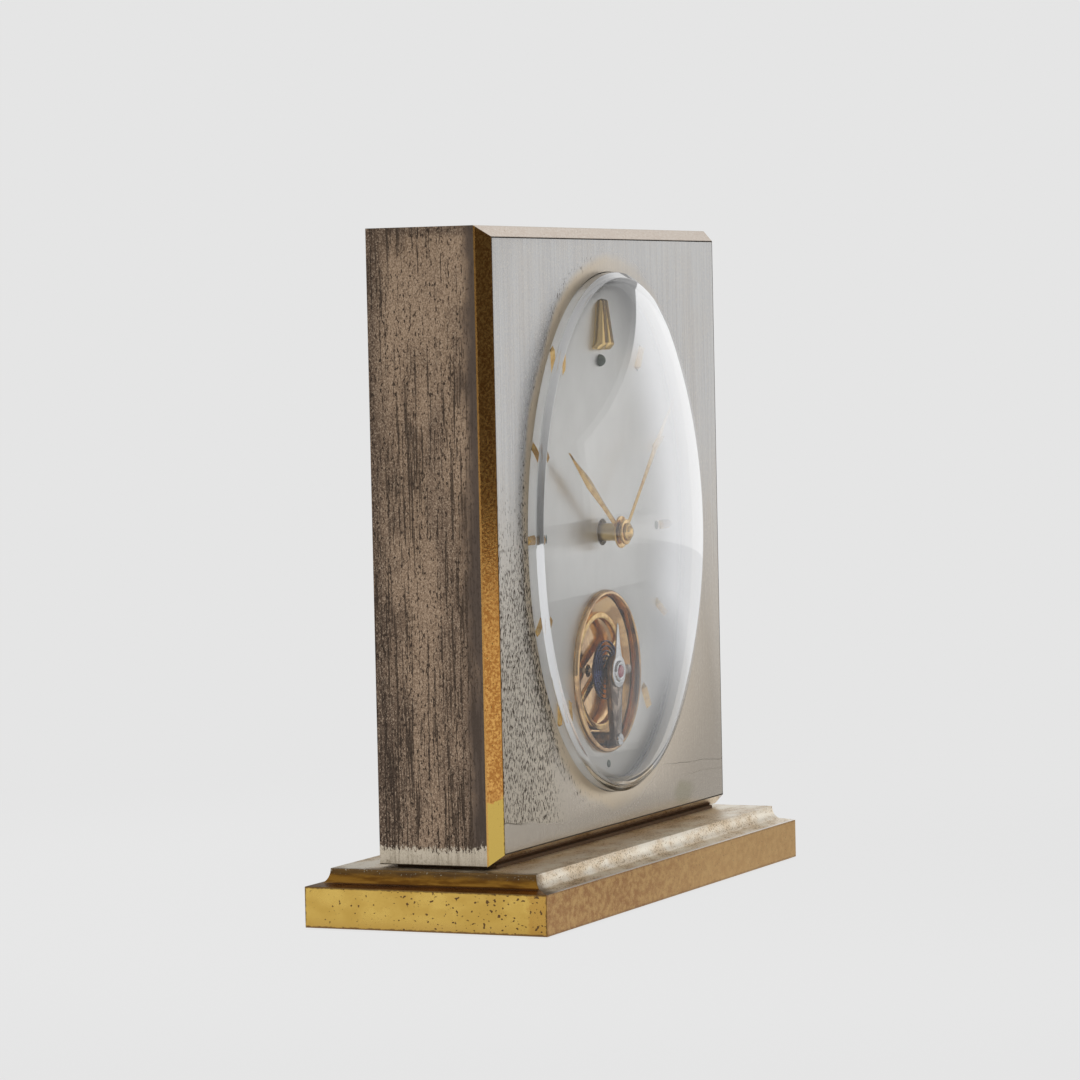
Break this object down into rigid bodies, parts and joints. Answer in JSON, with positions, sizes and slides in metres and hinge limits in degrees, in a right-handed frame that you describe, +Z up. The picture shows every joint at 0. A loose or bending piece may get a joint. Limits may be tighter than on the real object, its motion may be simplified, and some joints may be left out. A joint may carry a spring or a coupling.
{
  "type": "mantel clock",
  "caption": "Brass mantel clock on a stepped base, with a domed oval crystal and a balance visible through the dial.",
  "frame": {"origin": "centre of the base's underside", "axes": "+Z up, the dial faces -Y, +X to the right as the dial is read"},
  "size_m": [0.117, 0.046, 0.1209],
  "materials": {
    "case_brass": "aged nickel over brass, streaked",
    "base_brass": "polished brass, pitted and worn",
    "front_nickel": "vertically brushed nickel plate with patina",
    "crystal_glass": "clear domed crystal",
    "dial_silver": "fine silvered satin",
    "gilt": "polished gilt",
    "movement_brass": "satin brass",
    "steel": "satin steel",
    "polished_steel": "polished",
    "blued_steel": "blued",
    "ruby": "polished synthetic ruby",
    "lume": "grey-green luminous paint",
    "felt": "dark felt",
    "card": "dark card",
    "back_brass": "satin brass sheet"
  },
  "bodies": {
    "case": {"base_plinth": "base_brass", "base_felt": "felt", "base_spacer": "card", "base_screws": "steel", "case_frame": "case_brass", "front_plate": "front_nickel", "crystal": "crystal_glass", "retaining_frame": "movement_brass", "retaining_screws": "steel", "back_cover": "back_brass", "back_cover_screws": "steel", "dial": "dial_silver", "twelve_marker": "gilt", "hour_markers": "gilt", "luminous_dots": "lume", "aperture_bezel": "gilt", "minute_wheel_post": "steel", "movement_front_plate": "movement_brass", "movement_rear_plate": "movement_brass", "pillars": "movement_brass", "pillar_screws": "steel", "movement_screws": "steel", "pivot_jewels": "ruby", "click_spring": "steel", "hairspring": "blued_steel", "hairspring_stud": "polished_steel", "balance_cock": "polished_steel", "cock_screw": "polished_steel", "balance_jewel": "ruby", "balance_dish": "gilt"},
    "minute_work": {"cannon_pinion": "steel", "minute_hand": "gilt", "hand_nut": "gilt"},
    "hour_work": {"hour_wheel": "movement_brass", "hour_hand": "gilt"},
    "minute_wheel": {"minute_wheel": "movement_brass"},
    "setting_stem": {"setting_arbor": "steel", "setting_knob": "back_brass"},
    "barrel": {"barrel_drum": "movement_brass", "barrel_cover": "movement_brass", "mainspring": "blued_steel"},
    "winding_arbor": {"barrel_arbor": "steel", "ratchet_wheel": "steel", "winding_key": "back_brass"},
    "click": {"click": "steel"},
    "intermediate": {"intermediate_wheel": "movement_brass"},
    "centre": {"centre_wheel": "movement_brass", "centre_arbor": "steel"},
    "third": {"third_wheel": "movement_brass"},
    "fourth": {"fourth_wheel": "movement_brass"},
    "escape": {"escape_wheel": "steel"},
    "pallets": {"pallet_fork": "steel", "pallet_stones": "ruby"},
    "balance": {"balance_wheel": "gilt", "balance_staff": "polished_steel", "roller": "steel"},
    "regulator": {"regulator_index": "polished_steel"}
  },
  "joints": [
    {"name": "minute_hand_turn", "type": "hinge", "parent": "case", "child": "minute_work", "pos_m": [0, 0, 0.0659], "axis": [0, 1, 0], "continuous": true},
    {"name": "hour_hand_turn", "type": "hinge", "parent": "case", "child": "hour_work", "pos_m": [0, 0, 0.0659], "axis": [0, 1, 0], "continuous": true},
    {"name": "minute_wheel_turn", "type": "hinge", "parent": "case", "child": "minute_wheel", "pos_m": [0.0096, 0, 0.0659], "axis": [0, 1, 0], "continuous": true},
    {"name": "setting_knob_turn", "type": "hinge", "parent": "case", "child": "setting_stem", "pos_m": [0.0192, 0, 0.0659], "axis": [0, 1, 0], "continuous": true},
    {"name": "fourth_wheel_turn", "type": "hinge", "parent": "case", "child": "fourth", "pos_m": [0.00936, 0, 0.0486], "axis": [0, 1, 0], "continuous": true},
    {"name": "escape_wheel_turn", "type": "hinge", "parent": "case", "child": "escape", "pos_m": [0.0005, 0, 0.05016], "axis": [0, 1, 0], "continuous": true},
    {"name": "third_wheel_turn", "type": "hinge", "parent": "case", "child": "third", "pos_m": [0.00694, 0, 0.05763], "axis": [0, 1, 0], "continuous": true},
    {"name": "centre_wheel_turn", "type": "hinge", "parent": "case", "child": "centre", "pos_m": [0, 0, 0.0659], "axis": [0, 1, 0], "continuous": true},
    {"name": "intermediate_wheel_turn", "type": "hinge", "parent": "case", "child": "intermediate", "pos_m": [-0.00805, 0, 0.0731], "axis": [0, 1, 0], "continuous": true},
    {"name": "barrel_turn", "type": "hinge", "parent": "case", "child": "barrel", "pos_m": [0, 0, 0.0859], "axis": [0, 1, 0], "continuous": true},
    {"name": "winding_turn", "type": "hinge", "parent": "case", "child": "winding_arbor", "pos_m": [0, 0, 0.0859], "axis": [0, 1, 0], "continuous": true, "deforming": ["mainspring"]},
    {"name": "click_lift", "type": "hinge", "parent": "case", "child": "click", "pos_m": [0.012, 0, 0.0919], "axis": [0, 1, 0], "range_deg": [-12, 0], "stiffness_Nm_per_rad": 0.001},
    {"name": "pallet_fork_swing", "type": "hinge", "parent": "case", "child": "pallets", "pos_m": [0.00026, 0, 0.04567], "axis": [0, 1, 0], "range_deg": [-5, 5]},
    {"name": "balance_swing", "type": "hinge", "parent": "case", "child": "balance", "pos_m": [0, 0, 0.0407], "axis": [0, 1, 0], "range_deg": [-270, 270], "stiffness_Nm_per_rad": 0.0000125, "deforming": ["hairspring"]},
    {"name": "regulator_swing", "type": "hinge", "parent": "case", "child": "regulator", "pos_m": [0, 0, 0.0407], "axis": [0, 1, 0], "range_deg": [-20, 20]}
  ],
  "couplings": [
    {"joint": "hour_hand_turn", "follows": "minute_hand_turn", "ratio": 0.083333},
    {"joint": "minute_wheel_turn", "follows": "minute_hand_turn", "ratio": -0.33333},
    {"joint": "setting_knob_turn", "follows": "minute_hand_turn", "ratio": 1},
    {"joint": "escape_wheel_turn", "follows": "fourth_wheel_turn", "ratio": -8},
    {"joint": "third_wheel_turn", "follows": "fourth_wheel_turn", "ratio": -0.13333},
    {"joint": "centre_wheel_turn", "follows": "fourth_wheel_turn", "ratio": 0.016667},
    {"joint": "intermediate_wheel_turn", "follows": "fourth_wheel_turn", "ratio": -0.0033333},
    {"joint": "barrel_turn", "follows": "fourth_wheel_turn", "ratio": 0.00055556}
  ]
}
